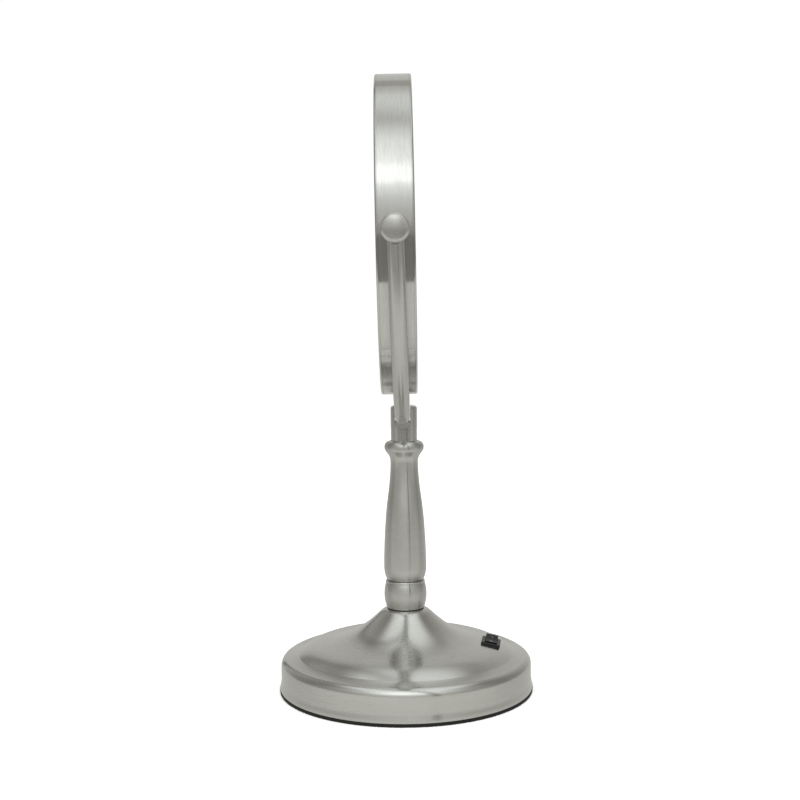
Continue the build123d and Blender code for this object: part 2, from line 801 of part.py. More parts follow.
# The magnifying glass is a shallow bowl of even thickness.
with BuildPart() as mirror_magnifying:
    with BuildSketch(head_section):
        with BuildLine():
            bowl = [(radius, bowl_face(radius)) for radius in (mirror_radius, mirror_radius / 2, 0)]
            face_arc = ThreePointArc(*bowl)
            back_arc = ThreePointArc(*[(radius, height + glass) for radius, height in bowl])
            Line(face_arc @ 1, back_arc @ 1)
            Line(back_arc @ 0, face_arc @ 0)
        make_face()
    revolve(axis=head_spin)
save(mirror_magnifying, "mirror_magnifying")

# One moulding holds everything in the head: a web, an outer wall, and a wall behind each mirror.
carrier_radius = head_radius - band_wall - carrier_gap
with BuildPart() as light_carrier:
    with BuildSketch(head_face.offset(web_back)):
        Circle(carrier_radius)
    extrude(amount=web_front - web_back)
    with BuildSketch(head_face.offset(-carrier_half_width)):
        Circle(carrier_radius)
        Circle(carrier_radius - carrier_wall, mode=Mode.SUBTRACT)
    extrude(amount=2 * carrier_half_width)
    with BuildSketch(head_face.offset(-magnifying_ledge)):
        Circle(ledge_radii[1])
        Circle(ledge_radii[0], mode=Mode.SUBTRACT)
    extrude(amount=magnifying_ledge + flat_ledge)
    # pockets round the pivots, and the middle left open
    with BuildSketch(head_face):
        for side in (-1, 1):
            with Locations((side * pivot_pocket[0], 0)):
                Rectangle(pivot_pocket[1], pivot_pocket[2])
        Circle(web_opening_radius)
    extrude(amount=half_thickness, both=True, mode=Mode.SUBTRACT)
save(light_carrier, "light_carrier")

with BuildPart() as mirror_pads:
    with BuildSketch(head_face.offset(flat_ledge)):
        Circle(pad_radii[1])
        Circle(pad_radii[0], mode=Mode.SUBTRACT)
    extrude(amount=mirror_face - glass - flat_ledge)
    with BuildSketch(head_face.offset(-magnifying_ledge)):
        Circle(pad_radii[1])
        Circle(pad_radii[0], mode=Mode.SUBTRACT)
    extrude(amount=-pad_thickness)
save(mirror_pads, "mirror_pads")

for name, face, side in (("flat", web_front, 1), ("magnifying", web_back, -1)):
    with BuildPart() as board:
        with BuildSketch(head_face.offset(face)):
            Circle(board_outer_radius)
            Circle(board_inner_radius, mode=Mode.SUBTRACT)
        extrude(amount=side * board_thickness)
    save(board, f"lamp_board_{name}")
    with BuildPart() as lamps:
        with BuildSketch(head_face.offset(face + side * board_thickness)):
            with PolarLocations(lamp_circle_radius, lamp_count):
                Rectangle(lamp_size[0], lamp_size[1])
        extrude(amount=side * lamp_size[2])
    save(lamps, f"lamps_{name}")

with BuildPart() as pivot_bushes:
    for pivot in pivots:
        with BuildSketch(pivot.offset(bush_inner_end)):
            Circle(bush_radius)
        extrude(amount=bush_outer_face - bush_inner_end)
        with BuildSketch(pivot.offset(head_radius - bush_flange_seat)):
            Circle(bush_flange_radius)
        extrude(amount=bush_outer_face - head_radius + bush_flange_seat)
    # the flanges follow the band
    add(head_band.part, mode=Mode.SUBTRACT)
    for pivot in pivots:
        with BuildSketch(pivot.offset(bush_inner_end)):
            Circle(stud_radius + running_clearance)
        extrude(amount=bush_outer_face - bush_inner_end, mode=Mode.SUBTRACT)
save(pivot_bushes, "pivot_bushes")

# ---------------------------------------------------------------- leads
with BuildPart() as column_lead:
    with BuildSketch(Plane.XY.offset(driver_bottom)):
        with Locations((yoke_seat[0], 0)):
            Circle(lead_radius)
    extrude(amount=yoke_seat[1] - lead_radius - 2 * running_clearance - driver_bottom)
save(column_lead, "column_lead")

with BuildPart() as yoke_lead:
    with BuildSketch(yoke_station(yoke_lead_angles[0])):
        Circle(lead_radius)
    revolve(axis=yoke_spin, revolution_arc=yoke_lead_angles[1] - yoke_lead_angles[0])
save(yoke_lead, "yoke_lead")

# The lead comes out of the far stud to the connector between the two lamp boards.
with BuildPart() as head_lead:
    with BuildSketch(pivots[1].offset(connector_face)):
        Circle(head_lead_radius)
    extrude(amount=head_lead_end - connector_face)
save(head_lead, "head_lead")

with BuildPart() as lead_connector:
    with BuildSketch(head_face.offset(web_back)):
        with Locations((connector_face - connector[0] / 2, 0)):
            Rectangle(*connector)
    extrude(amount=web_front - web_back)
save(lead_connector, "lead_connector")
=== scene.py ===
"""Looks of the two-sided lighted vanity mirror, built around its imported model, in metres.

The frame is the model's own: +Z up, the flat mirror and the switch on the +X side, the head tilting
about Y. The camera stands on the -Y side and sees the mirror edge-on.
"""

import json
from cmath import phase, rect
from math import atan2, copysign, cos, degrees, dist, hypot, pi, radians, sin, tan

import bmesh
import bpy
import numpy as np
from mathutils import Matrix, Vector


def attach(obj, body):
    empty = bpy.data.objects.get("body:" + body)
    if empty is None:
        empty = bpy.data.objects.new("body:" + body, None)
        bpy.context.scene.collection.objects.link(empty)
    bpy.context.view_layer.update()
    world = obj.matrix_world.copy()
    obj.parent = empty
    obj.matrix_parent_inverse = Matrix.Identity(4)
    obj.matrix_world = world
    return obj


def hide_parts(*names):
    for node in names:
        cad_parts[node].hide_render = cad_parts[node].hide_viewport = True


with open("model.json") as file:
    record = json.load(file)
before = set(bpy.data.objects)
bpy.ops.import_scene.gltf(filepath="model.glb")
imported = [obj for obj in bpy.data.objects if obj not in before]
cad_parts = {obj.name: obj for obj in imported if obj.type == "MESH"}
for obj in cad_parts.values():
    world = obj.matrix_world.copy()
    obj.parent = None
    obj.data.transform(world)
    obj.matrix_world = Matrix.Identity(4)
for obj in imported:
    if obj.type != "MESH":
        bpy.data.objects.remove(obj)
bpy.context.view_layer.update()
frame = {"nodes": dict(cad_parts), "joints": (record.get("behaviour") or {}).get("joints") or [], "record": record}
nodes = frame["nodes"]
joints = {joint["name"]: joint for joint in frame["joints"]}
head_middle = Vector(joints["head_tilt"]["pos_m"])
HEAD_LEAN = radians(0.65)
HEAD_AXIS = (cos(HEAD_LEAN), 0, sin(HEAD_LEAN))
GRAIN_MAP = "grain"

# ---------------------------------------------------------------- camera
CAMERA_PLACE = (0.00045, -0.8358, 0.2513)
CAMERA_PITCH = radians(-4.709)
CAMERA_YAW = radians(-0.185)
CAMERA_ROLL = radians(-0.567)
SENSOR = 36.0
FOCAL_LENGTH = 60.7


def make_camera():
    """The camera looks along +Y, a little down, with the picture's own slight roll."""
    ahead = Vector((
        sin(CAMERA_YAW) * cos(CAMERA_PITCH),
        cos(CAMERA_YAW) * cos(CAMERA_PITCH),
        sin(CAMERA_PITCH),
    ))
    level = Vector((cos(CAMERA_YAW), -sin(CAMERA_YAW), 0))
    upright = level.cross(ahead)
    right = level * cos(CAMERA_ROLL) + upright * sin(CAMERA_ROLL)
    up = upright * cos(CAMERA_ROLL) - level * sin(CAMERA_ROLL)
    data = bpy.data.cameras.new("camera")
    data.sensor_width = SENSOR
    data.lens = FOCAL_LENGTH
    data.clip_start = 0.01
    camera = bpy.data.objects.new("camera", data)
    turn = Matrix((right, up, -ahead)).transposed().to_4x4()
    camera.matrix_world = Matrix.Translation(CAMERA_PLACE) @ turn
    bpy.context.scene.collection.objects.link(camera)
    bpy.context.scene.camera = camera


make_camera()


# ---------------------------------------------------------------- node helpers
class Graph:
    """Adds nodes to one node tree and joins them."""

    def __init__(self, tree):
        self.tree = tree

    def put(self, value, socket):
        """Feed a socket from a link or with a plain value."""
        if isinstance(value, bpy.types.NodeSocket):
            self.tree.links.new(value, socket)
        elif value is not None:
            socket.default_value = value

    def node(self, kind, inputs=None, **settings):
        made = self.tree.nodes.new(kind)
        for name, value in settings.items():
            setattr(made, name, value)
        for name, value in (inputs or {}).items():
            self.put(value, made.inputs[name])
        return made

    def math(self, operation, *values):
        made = self.tree.nodes.new("ShaderNodeMath")
        made.operation = operation
        for socket, value in zip(made.inputs, values):
            self.put(value, socket)
        return made.outputs[0]

    def map_range(self, value, low, high, to_low, to_high):
        """Take a value smoothly from one range to another."""
        made = self.node("ShaderNodeMapRange", interpolation_type="SMOOTHSTEP")
        sockets = ("Value", "From Min", "From Max", "To Min", "To Max")
        for name, given in zip(sockets, (value, low, high, to_low, to_high)):
            self.put(given, made.inputs[name])
        return made.outputs["Result"]

    def ramp(self, value, stops):
        made = self.tree.nodes.new("ShaderNodeValToRGB")
        elements = made.color_ramp.elements
        while len(elements) < len(stops):
            elements.new(0.5)
        for element, (place, colour) in zip(elements, stops):
            element.position = place
            element.color = (*colour, 1)
        self.put(value, made.inputs["Fac"])
        return made.outputs["Color"]

    def mix(self, fac, a, b):
        made = self.node("ShaderNodeMix", data_type="RGBA")
        colours = [socket for socket in made.inputs if socket.type == "RGBA"]
        self.put(fac, made.inputs[0])
        for socket, value in zip(colours, (a, b)):
            self.put((*value, 1) if isinstance(value, tuple) and len(value) == 3 else value, socket)
        return next(socket for socket in made.outputs if socket.type == "RGBA")

    def noise(self, vector, scale, detail, roughness):
        inputs = {"Vector": vector, "Scale": scale, "Detail": detail, "Roughness": roughness}
        return self.node("ShaderNodeTexNoise", inputs).outputs[0]

    def place(self):
        """Where the surface is, in the row's frame."""
        return self.node("ShaderNodeTexCoord").outputs["Object"]

    def bump(self, height, strength, distance):
        made = self.node("ShaderNodeBump", {"Strength": strength, "Distance": distance})
        self.put(height, made.inputs["Height"])
        return made.outputs["Normal"]


def new_material(name):
    """A material with a bare Principled shader, its graph and that shader."""
    material = bpy.data.materials.new(name)
    material.use_nodes = True
    tree = material.node_tree
    shader = next(node for node in tree.nodes if node.type == "BSDF_PRINCIPLED")
    return material, Graph(tree), shader


def grey(value):
    return (value, value, value)


# ---------------------------------------------------------------- satin nickel
NICKEL = (0.628, 0.628, 0.602)
NICKEL_WORN = (0.590, 0.590, 0.563)
HAIR_FINENESS = 3.5
HAIR_SPREAD = 0.5
HAIR_EDGE = 0.03
# The coarser streaks: how much coarser, how much longer, and each kind's share.
BROAD_COARSENESS = 5
BROAD_LENGTH = 0.7
FINE_SHARE = 0.6
BROAD_SHARE = 0.4
STREAK_CONTRAST = 0.22
STREAK_RELIEF = 0.02
STREAK_DEPTH = 0.0002
# Clouding starts and ends at these noise values, and adds this much roughness.
CLOUDING = (0.42, 0.68, 0.0, 0.02)
QUARTER_TURN = 0.25
# Most of a noise's values lie between these.
NOISE_SPAN = (0.3, 0.7)


def spun_grain(graph, across, around):
    """Streaks that run round a turned piece: across is streaks per metre of outline, around per turn."""
    split = graph.node("ShaderNodeSeparateXYZ")
    graph.put(graph.node("ShaderNodeTexCoord").outputs["UV"], split.inputs[0])
    turn = graph.math("MULTIPLY", split.outputs["X"], 2 * pi)
    vector = graph.node("ShaderNodeCombineXYZ")
    graph.put(graph.math("MULTIPLY", graph.math("COSINE", turn), around), vector.inputs[0])
    graph.put(graph.math("MULTIPLY", graph.math("SINE", turn), around), vector.inputs[1])
    graph.put(graph.math("MULTIPLY", split.outputs["Y"], across), vector.inputs[2])
    return graph.noise(vector.outputs[0], scale=1.0, detail=3.0, roughness=0.6)


def satin_nickel(name, smooth, rough, share, spread=1.0, metal=1.0, *, across, around, lines=1.0):
    """Nickel plate with fine grain that runs round the piece, and the faint clouding of handling.

    Hair lines with the rough finish take up a share of the surface, and spread is how far they blur."""
    material, graph, shader = new_material(name)
    fine = spun_grain(graph, across, around)
    broad = spun_grain(graph, across / BROAD_COARSENESS, around * BROAD_LENGTH)
    cloud = graph.noise(graph.place(), scale=38, detail=3, roughness=0.55)
    streak = graph.math(
        "ADD", graph.math("MULTIPLY", fine, FINE_SHARE), graph.math("MULTIPLY", broad, BROAD_SHARE)
    )
    contrast = STREAK_CONTRAST / lines
    tone = graph.map_range(streak, 0.5 - contrast, 0.5 + contrast, 0, 1)
    graph.put(graph.mix(tone, NICKEL_WORN, NICKEL), shader.inputs["Base Color"])
    shader.inputs["Metallic"].default_value = metal
    hair = spun_grain(graph, across * HAIR_FINENESS, around * 2)
    edge = 0.5 + HAIR_SPREAD * (0.5 - share)
    by_streak = graph.map_range(hair, edge - HAIR_EDGE, edge + HAIR_EDGE, smooth, rough)
    by_cloud = graph.map_range(cloud, *CLOUDING)
    graph.put(graph.math("ADD", by_streak, by_cloud), shader.inputs["Roughness"])
    shader.inputs["Anisotropic"].default_value = spread
    shader.inputs["Anisotropic Rotation"].default_value = QUARTER_TURN
    tangent = graph.node("ShaderNodeTangent", direction_type="UV_MAP", uv_map=GRAIN_MAP)
    graph.put(tangent.outputs[0], shader.inputs["Tangent"])
    graph.put(graph.bump(streak, STREAK_RELIEF * lines, STREAK_DEPTH), shader.inputs["Normal"])
    return material


# ---------------------------------------------------------------- other materials
# Plastic's lighter clouds, and how far its roughness varies either way.
LIGHTER = 1.18
LIFT = 0.004
GLOSS_SPREAD = 0.06
# Plated steel's darker blotches, and how far its roughness goes down and up.
DARKER = 0.82
BLOTCH_SPREAD = (0.07, 0.08)


def moulded_plastic(name, colour, roughness, bump=0.25, size=2600):
    """Plastic with the fine spark-eroded texture of a mould."""
    material, graph, shader = new_material(name)
    texture = graph.noise(graph.place(), scale=size, detail=2, roughness=0.6)
    cloud = graph.noise(graph.place(), scale=90, detail=3, roughness=0.5)
    light = tuple(min(1.0, c * LIGHTER + LIFT) for c in colour)
    graph.put(graph.mix(graph.map_range(cloud, 0.35, 0.7, 0, 1), colour, light), shader.inputs["Base Color"])
    matt = graph.map_range(texture, *NOISE_SPAN, roughness - GLOSS_SPREAD, roughness + GLOSS_SPREAD)
    graph.put(matt, shader.inputs["Roughness"])
    shader.inputs["Specular IOR Level"].default_value = 0.45
    graph.put(graph.bump(texture, strength=bump, distance=0.00008), shader.inputs["Normal"])
    return material


def foot_rubber():
    """Black rubber, dusty where it was handled."""
    material, graph, shader = new_material("foot_rubber")
    texture = graph.noise(graph.place(), scale=1500, detail=3, roughness=0.6)
    dust = graph.noise(graph.place(), scale=60, detail=4, roughness=0.6)
    dusty = graph.map_range(dust, 0.5, 0.8, 0, 0.4)
    graph.put(graph.mix(dusty, grey(0.016), grey(0.05)), shader.inputs["Base Color"])
    graph.put(graph.map_range(texture, *NOISE_SPAN, 0.62, 0.8), shader.inputs["Roughness"])
    shader.inputs["Specular IOR Level"].default_value = 0.3
    graph.put(graph.bump(texture, strength=0.4, distance=0.0001), shader.inputs["Normal"])
    return material


def mirror_glass():
    """Silvering behind polished glass, with the faint smears of wiping."""
    material, graph, shader = new_material("mirror_glass")
    shader.inputs["Metallic"].default_value = 1.0
    smear = graph.noise(graph.place(), scale=22, detail=5, roughness=0.62)
    silver = graph.mix(graph.map_range(smear, 0.4, 0.7, 0, 1), (0.90, 0.915, 0.91), (0.87, 0.885, 0.88))
    graph.put(silver, shader.inputs["Base Color"])
    graph.put(graph.map_range(smear, 0.45, 0.75, 0.012, 0.05), shader.inputs["Roughness"])
    shader.inputs["Coat Weight"].default_value = 1.0
    shader.inputs["Coat Roughness"].default_value = 0.01
    return material


def frosted_acrylic():
    """Milky ring with a fine frost on its face."""
    material, graph, shader = new_material("frosted_acrylic")
    frost = graph.noise(graph.place(), scale=3200, detail=2, roughness=0.6)
    cloud = graph.noise(graph.place(), scale=30, detail=2, roughness=0.5)
    graph.put(graph.mix(cloud, (0.90, 0.90, 0.88), (0.86, 0.865, 0.85)), shader.inputs["Base Color"])
    graph.put(graph.map_range(frost, *NOISE_SPAN, 0.42, 0.56), shader.inputs["Roughness"])
    shader.inputs["Subsurface Weight"].default_value = 0.35
    shader.inputs["Subsurface Scale"].default_value = 0.002
    shader.inputs["Coat Weight"].default_value = 0.25
    shader.inputs["Coat Roughness"].default_value = 0.35
    graph.put(graph.bump(frost, strength=0.12, distance=0.00005), shader.inputs["Normal"])
    return material


def plated_steel(name, colour, roughness):
    """Bright plated hardware with small blotches."""
    material, graph, shader = new_material(name)
    blotch = graph.noise(graph.place(), scale=420, detail=3, roughness=0.6)
    dull = tuple(c * DARKER for c in colour)
    graph.put(graph.mix(graph.map_range(blotch, 0.4, 0.65, 0, 1), colour, dull), shader.inputs["Base Color"])
    shader.inputs["Metallic"].default_value = 1.0
    low, high = roughness - BLOTCH_SPREAD[0], roughness + BLOTCH_SPREAD[1]
    graph.put(graph.map_range(blotch, *NOISE_SPAN, low, high), shader.inputs["Roughness"])
    graph.put(graph.bump(blotch, strength=0.1, distance=0.00005), shader.inputs["Normal"])
    return material


# ---------------------------------------------------------------- materials by node
spun = satin_nickel("spun_nickel", 0.20, 0.38, 0.25, 0.85, across=1500, around=4)
turned = satin_nickel("turned_nickel", 0.20, 0.25, 0.5, across=1900, around=3)
socket_finish = satin_nickel("socket_nickel", 0.18, 0.22, 0.3, 0.8, across=1500, around=6, lines=1.6)
bent = satin_nickel("yoke_nickel", 0.21, 0.26, 0.4, 1.0, 0.95, across=1700, around=3)
band = satin_nickel("band_nickel", 0.15, 0.22, 0.4, across=1500, around=5, lines=1.3)
rim = satin_nickel("rim_nickel", 0.20, 0.28, 0.4, across=1900, around=5)
knob = satin_nickel("knob_nickel", 0.24, 0.30, 0.4, 0.2, 0.6, across=2200, around=2)

LOOKS = {
    "spun_nickel": spun,
    "turned_nickel": turned,
    "yoke_nickel": bent,
    "band_nickel": band,
    "rim_nickel": rim,
    "knob_nickel": knob,
    "foot_rubber": foot_rubber(),
    "switch_plastic": moulded_plastic("switch_plastic", grey(0.012), 0.36, 0.2),
    "base_plastic": moulded_plastic("base_plastic", grey(0.028), 0.5, 0.4, 1900),
    "tray_plastic": moulded_plastic("tray_plastic", grey(0.045), 0.5),
    "carrier_plastic": moulded_plastic("carrier_plastic", (0.80, 0.80, 0.78), 0.5),
    "iron": moulded_plastic("iron", grey(0.09), 0.6, 0.6, 700),
    "zinc_steel": plated_steel("zinc_steel", (0.62, 0.63, 0.64), 0.32),
    "contact_nickel": plated_steel("contact_nickel", (0.68, 0.66, 0.61), 0.28),
    "tin_brass": plated_steel("tin_brass", (0.78, 0.72, 0.55), 0.3),
    "cell_jacket": plated_steel("cell_jacket", (0.10, 0.11, 0.13), 0.34),
    "mirror_glass": mirror_glass(),
    "frosted_acrylic": frosted_acrylic(),
    "board_white": moulded_plastic("board_white", (0.78, 0.80, 0.76), 0.4, 0.1),
    "board_green": moulded_plastic("board_green", (0.02, 0.15, 0.06), 0.35, 0.1),
    "lamp_white": moulded_plastic("lamp_white", (0.90, 0.82, 0.45), 0.25, 0.05),
    "component_black": moulded_plastic("component_black", grey(0.015), 0.45),
    "foam": moulded_plastic("foam", grey(0.03), 0.75, 0.5, 1800),
    "nylon": moulded_plastic("nylon", (0.78, 0.77, 0.72), 0.42, 0.1),
    "lead_jacket": moulded_plastic("lead_jacket", grey(0.02), 0.5, 0.1),
}


def dress():
    """Give every CAD node the look of its slot."""
    for part in frame["record"]["subparts"]:
        mesh = nodes[part["node"]].data
        mesh.materials.clear()
        mesh.materials.append(LOOKS[part["material_slot"]])


dress()

# ---------------------------------------------------------------- outlines, in millimetres
MM = 0.001


def curve_through(points, start, end, steps=14):
    """Places along a smooth curve through points, leaving and ending in the given directions."""
    knots = np.array(points, float)
    gaps = np.linalg.norm(np.diff(knots, axis=0), axis=1)
    system = np.zeros((len(knots), len(knots)))
    system[0, 0] = system[-1, -1] = 1
    wanted = np.zeros(knots.shape)
    wanted[0] = start / np.linalg.norm(start)
    wanted[-1] = end / np.linalg.norm(end)
    for i in range(1, len(knots) - 1):
        before, after = gaps[i - 1], gaps[i]
        system[i, i - 1 : i + 2] = after, 2 * (before + after), before
        rise_in = after * (knots[i] - knots[i - 1]) / before
        rise_out = before * (knots[i + 1] - knots[i]) / after
        wanted[i] = 3 * (rise_in + rise_out)
    slopes = np.linalg.solve(system, wanted)
    t = np.linspace(0, 1, steps, endpoint=False)[:, None]
    places = []
    for i, gap in enumerate(gaps):
        from_here = (2 * t**3 - 3 * t**2 + 1) * knots[i] + (t**3 - 2 * t**2 + t) * gap * slopes[i]
        to_next = (3 * t**2 - 2 * t**3) * knots[i + 1] + (t**3 - t**2) * gap * slopes[i + 1]
        places += [tuple(place) for place in from_here + to_next]
    return places + [tuple(knots[-1])]


def arc(centre, radius, start, end, steps):
    """Places on an arc between two angles in degrees."""
    angles = [radians(start + (end - start) * i / steps) for i in range(steps + 1)]
    return [(centre[0] + radius * cos(a), centre[1] + radius * sin(a)) for a in angles]


def arc_through(first, middle, last, steps=16):
    """Places on the arc through three points."""
    a, b, c = (complex(*point) for point in (first, middle, last))
    ratio = (c - a) / (b - a)
    centre = a + (b - a) * (ratio - abs(ratio) ** 2) / (ratio - ratio.conjugate())
    sweep = phase((c - centre) / (a - centre))
    turned = [centre + (a - centre) * rect(1, sweep * i / steps) for i in range(steps + 1)]
    return [(place.real, place.imag) for place in turned]


# The base cover. Every place in these outlines is (radius, height).
COVER = {
    "hem": 79.3, "bottom": 2.2, "hem_top": 8.0, "wall": 78.5, "wall_top": 16.9, "shoulder": 5.2,
    "slope": 14, "crease": 68.0, "neck": 11.8, "neck_top": 51.6, "bore": 4.95,
}
COVER_SHEET = 1.0
COVER_SHEET_DOWN = 1.15
DOME = (
    (60.0, 28.0), (51.0, 30.45), (41.0, 32.9), (31.5, 36.9), (22.0, 43.7), (17.0, 48.2), (14.2, 50.55),
)
DOME_START = (-1, 0.65)
DOME_END = (-1, 0.22)
# The column's ball and turned body, which share a bore.
BORE = 5.0
BALL_BELLY = ((11.8, 52.2), (13.3, 60.8), (12.15, 68.2))
BALL_BEAD = ((12.3, 68.9), (11.6, 69.6))
COLUMN_FOOT = ((11.4, 69.9), (12.6, 72.8), (13.28, 78.0))
COLUMN_SHAFT = (
    (13.28, 79.5), (12.95, 92.0), (12.2, 105.6), (11.0, 118.0), (9.55, 129.2), (8.85, 137.3), (8.62, 142.4),
)
COLUMN_FLARE = ((8.62, 143.4), (9.3, 147.3), (11.0, 149.9), (12.3, 152.6))
COLUMN_ROLL = ((12.3, 153.3), (11.4, 156.0), (8.3, 157.3))
COLUMN_SEAT = 152.5
# The head: its heights are from the middle of the head, along its own axis.
BAND_RADII = (96.3, 97.3)
BAND_HALF_WIDTH = 9.6
RIM_OUTER = ((97.3, 9.8), (96.95, 10.65), (96.1, 11.0))
RIM_INNER = ((91.5, 11.0), (91.0, 10.8), (90.8, 10.3))
RIM_BACK = ((90.8, 10.05), (95.0, 10.05), (95.0, 8.0), (96.2, 8.0), (96.2, 9.7), (97.3, 9.7))
BOWL = ((76.0, -10.4), (38.0, -6.5), (0.0, -5.2))
GLASS = 3.0
# The yoke's arms are flat at these distances from the middle, and a knob sits on the outer flat.
ARM_FACES = (107.2, 114.8)
KNOB_RADIUS = 8.0
KNOB_BEVEL = 0.3
KNOB_EDGE = 3.05
KNOB_ROUNDING = 2.6
KNOB_CORNER_TURN = 70
KNOB_HEIGHT = 6.6
# How finely the longer curves are cut.
CROWN_STEPS = 24
CORNER_STEPS = 20
BOWL_STEPS = 32


def cover_side(inset, drop):
    """The cover's outline from its hem to its neck, moved in and down."""
    wall = COVER["wall"] - inset
    hem = curve_through([(COVER["hem"] - inset, COVER["bottom"]), (wall, COVER["hem_top"])], (0, 1), (0, 1))
    middle = (COVER["wall"] - COVER["shoulder"], COVER["wall_top"])
    shoulder = arc(middle, COVER["shoulder"] - inset, 0, 90 - COVER["slope"], CROWN_STEPS)
    run = shoulder[-1][0] - COVER["crease"]
    crease = (COVER["crease"], shoulder[-1][1] + run * tan(radians(COVER["slope"])))
    dome = [(radius, height - drop) for radius, height in DOME]
    top = (COVER["neck"], COVER["neck_top"] - drop)
    return hem + shoulder + curve_through([crease, *dome, top], DOME_START, DOME_END)


def cover_outline():
    """The sheet cover, from its hem up the outside and down the inside."""
    inside = cover_side(COVER_SHEET, COVER_SHEET_DOWN)
    bore = [(COVER["bore"], COVER["neck_top"]), (COVER["bore"], inside[-1][1])]
    return cover_side(0, 0) + bore + inside[::-1]


def ball_outline():
    belly = arc_through(*BALL_BELLY)
    bead = arc_through(belly[-1], *BALL_BEAD)
    return belly + bead[1:] + [(BORE, bead[-1][1]), (BORE, belly[0][1])]


def column_outline():
    """From the foot up the outside, over the collar's roll and back down to the bore."""
    foot = curve_through(COLUMN_FOOT, (0.6, 1), (0, 1))
    shaft = curve_through(COLUMN_SHAFT, (0, 1), (0, 1))
    flare = curve_through(COLUMN_FLARE, (0, 1), (0, 1))
    roll = curve_through(COLUMN_ROLL, (0, 1), (-1, 0.1))
    outside = foot + shaft + flare + roll
    return [(BORE, foot[0][1])] + outside + [(roll[-1][0], COLUMN_SEAT), (BORE, COLUMN_SEAT)]


def band_outline():
    inner, outer = BAND_RADII
    width = BAND_HALF_WIDTH
    return [(inner, -width), (outer, -width), (outer, width), (inner, width)]


def rim_outline(side):
    """A face's rim, where side is 1 for the flat mirror's and -1 for the magnifying one's."""
    outline = arc_through(*RIM_OUTER) + arc_through(*RIM_INNER) + list(RIM_BACK)
    return [(radius, side * height) for radius, height in outline]


def bowl_outline():
    """The magnifying glass, with its hollow face towards the negative side."""
    face = arc_through(*BOWL, BOWL_STEPS)
    return face + [(radius, height + GLASS) for radius, height in reversed(face)]


def knob_outline():
    """The knob's bevel, rounded edge and domed crown, from the arm's outer flat."""
    seat = ARM_FACES[1]
    edge = [(KNOB_RADIUS - KNOB_BEVEL, seat), (KNOB_RADIUS, seat + KNOB_BEVEL)]
    middle = (KNOB_RADIUS - KNOB_ROUNDING, seat + KNOB_EDGE)
    corner = arc(middle, KNOB_ROUNDING, 0, KNOB_CORNER_TURN, CORNER_STEPS)
    turn = radians(KNOB_CORNER_TURN)
    top = (0.0, seat + KNOB_HEIGHT)
    crown = curve_through([corner[-1], top], (-sin(turn), cos(turn)), (-1, 0), CROWN_STEPS)
    return edge + corner + crown[1:] + [(0.0, seat)]


# ---------------------------------------------------------------- smooth skins
TURN_STEPS = 360
HEAD_STEPS = 512
SHARP_ANGLE = radians(32)
SKIN_LOOKS = {"yoke_socket": socket_finish}
slots = {part["node"]: part["material_slot"] for part in frame["record"]["subparts"]}
body_of = {node: body for body, members in frame["record"]["behaviour"]["bodies"].items() for node in members}


def cover_node(node, places, faces, maps):
    """A smooth mesh that stands for a CAD node. Maps holds each face's corners in the grain's map."""
    mesh = bpy.data.meshes.new(f"{node}_skin")
    mesh.from_pydata(places, [], faces)
    layer = mesh.uv_layers.new(name=GRAIN_MAP)
    layer.data.foreach_set("uv", [value for face in maps for corner in face for value in corner])
    shape = bmesh.new()
    shape.from_mesh(mesh)
    bmesh.ops.recalc_face_normals(shape, faces=shape.faces)
    shape.to_mesh(mesh)
    shape.free()
    mesh.shade_smooth()
    mesh.set_sharp_from_angle(angle=SHARP_ANGLE)
    mesh.materials.append(SKIN_LOOKS.get(node) or LOOKS[slots[node]])
    piece = bpy.data.objects.new(f"{node}_skin", mesh)
    bpy.context.scene.collection.objects.link(piece)
    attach(piece, body_of[node])
    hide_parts(node)


def spin(node, outline, axis=Matrix.Identity(4), steps=TURN_STEPS):
    """Spin a closed outline of (radius, height) places round an axis."""
    places, rings, lengths, length = [], [], [], 0
    for k, (radius, height) in enumerate(outline):
        count = steps if radius > 0 else 1
        rings.append([len(places) + i for i in range(count)])
        turns = [2 * pi * i / steps for i in range(count)]
        places += [axis @ (Vector((radius * cos(a), radius * sin(a), height)) * MM) for a in turns]
        lengths.append(length)
        length += dist(outline[k], outline[(k + 1) % len(outline)]) * MM
    faces, maps = [], []
    lengths.append(length)
    for k, ring in enumerate(rings):
        other = rings[(k + 1) % len(rings)]
        walk = ((ring, 0, k), (ring, 1, k), (other, 1, k + 1), (other, 0, k + 1))
        for i in range(steps):
            corners = {}
            for members, onward, level in walk:
                step = i + onward
                corners.setdefault(members[step % len(members)], (step / steps, lengths[level]))
            if len(corners) > 2:
                faces.append(list(corners))
                maps.append(list(corners.values()))
    cover_node(node, places, faces, maps)


def axis_at(centre, direction):
    """The turn that puts Z along a direction, at a centre."""
    return Matrix.Translation(centre) @ Vector(direction).to_track_quat("Z", "Y").to_matrix().to_4x4()


YOKE_RADIUS = 111.2
YOKE_TUBE = 4.65
YOKE_LEAN = radians(1.45)
YOKE_OVERHANG = 5.0
SPOT_FACE_RADIUS = 8.6
SPOT_FACE_RUN = 1.1
# Stations round the yoke, in degrees: its arms end level with the pivots, beside its finer stretches.
YOKE_END = 180
YOKE_BOTTOM = 270
FINE_STRETCH = 6
FINE_STATIONS = 70
BEND_STATIONS = 240
TUBE_SIDES = 96


